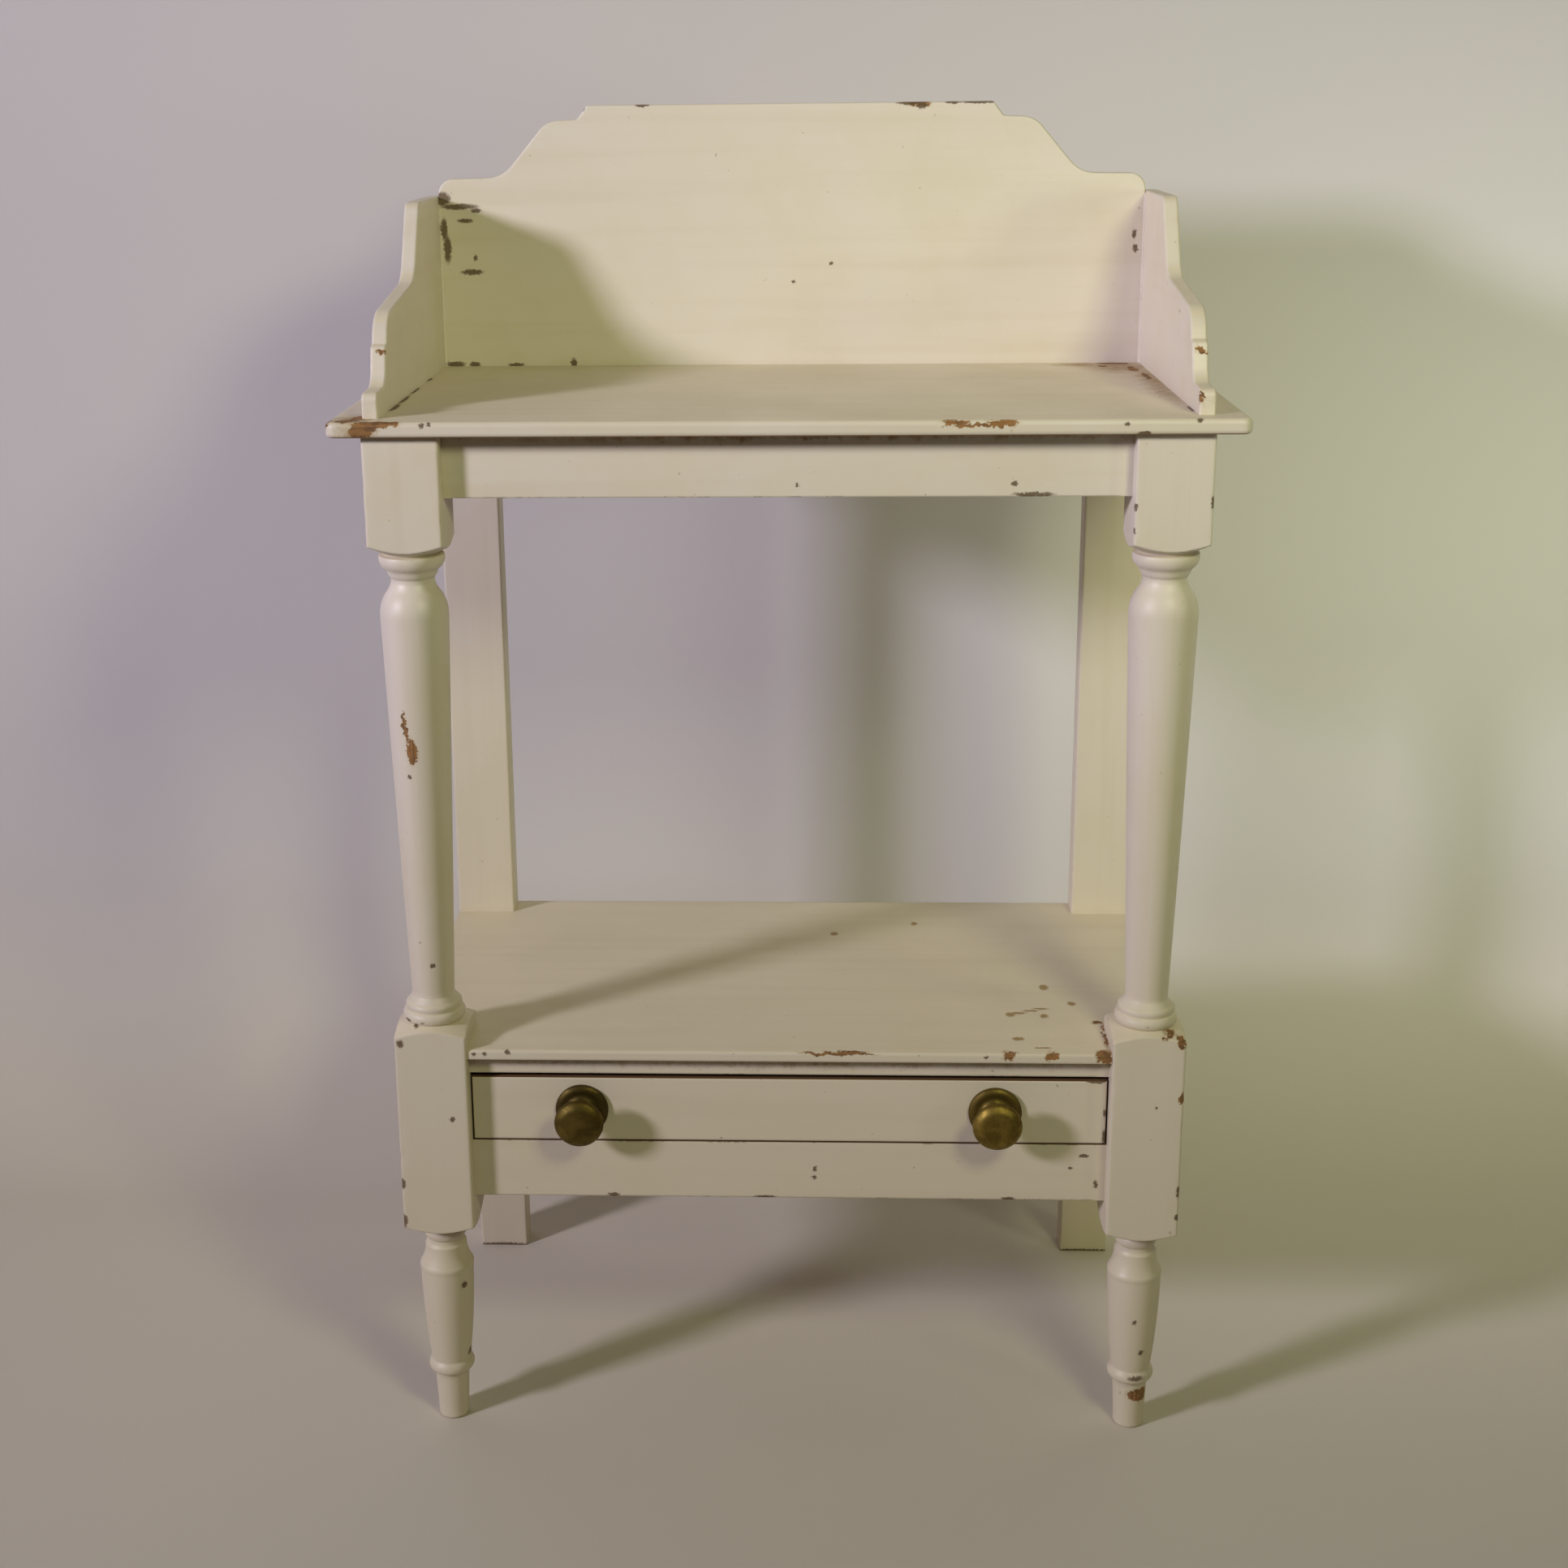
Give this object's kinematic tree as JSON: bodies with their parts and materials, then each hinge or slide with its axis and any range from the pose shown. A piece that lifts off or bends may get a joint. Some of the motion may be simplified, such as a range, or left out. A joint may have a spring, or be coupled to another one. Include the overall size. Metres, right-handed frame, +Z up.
{
  "type": "painted wooden washstand",
  "caption": "Painted pine washstand with shaped splashback and galleries, turned front legs, pot shelf and a shallow knobbed drawer that slides out to the front.",
  "frame": {"origin": "On the floor under the middle of the top. The knobs stand 8.5 mm proud of the top's front edge, so the middle of the bounding box lies 4.3 mm in front of the origin.", "axes": "+Z up, +X to the right of someone facing the stand, +Y towards its back; the drawer opens along -Y."},
  "size_m": [0.61, 0.3185, 0.966],
  "materials": {
    "cream_painted_wood": "old cream oil paint, satin, chipped at edges",
    "bare_pine": "unpainted planed pine, darkened with age",
    "aged_brass": "tarnished turned brass, worn brighter on the rim",
    "dark_iron": "dull dark iron"
  },
  "bodies": {
    "stand": {"table_top": "cream_painted_wood", "splashback": "cream_painted_wood", "side_gallery_left": "cream_painted_wood", "side_gallery_right": "cream_painted_wood", "front_leg_left": "cream_painted_wood", "front_leg_right": "cream_painted_wood", "back_leg_left": "cream_painted_wood", "back_leg_right": "cream_painted_wood", "top_front_rail": "cream_painted_wood", "top_back_rail": "cream_painted_wood", "top_side_rail_left": "cream_painted_wood", "top_side_rail_right": "cream_painted_wood", "pot_shelf": "cream_painted_wood", "drawer_top_rail": "cream_painted_wood", "lower_front_rail": "cream_painted_wood", "lower_back_rail": "cream_painted_wood", "lower_side_rail_left": "cream_painted_wood", "lower_side_rail_right": "cream_painted_wood", "drawer_runner_left": "bare_pine", "drawer_runner_right": "bare_pine", "drawer_guide_left": "bare_pine", "drawer_guide_right": "bare_pine", "drawer_kicker_left": "bare_pine", "drawer_kicker_right": "bare_pine", "drawer_stops": "bare_pine", "top_glue_blocks": "bare_pine", "shelf_glue_blocks": "bare_pine", "gallery_screws": "dark_iron", "splashback_nails": "dark_iron"},
    "drawer": {"drawer_front": "cream_painted_wood", "drawer_side_left": "bare_pine", "drawer_side_right": "bare_pine", "drawer_back": "bare_pine", "drawer_bottom": "bare_pine", "knob_left": "aged_brass", "knob_right": "aged_brass", "knob_washers": "dark_iron", "knob_nuts": "dark_iron", "drawer_floor_nails": "dark_iron"}
  },
  "joints": [
    {"name": "drawer_slide", "type": "slide", "parent": "stand", "child": "drawer", "axis": [0, -1, 0], "range_m": [0, 0.15]}
  ]
}
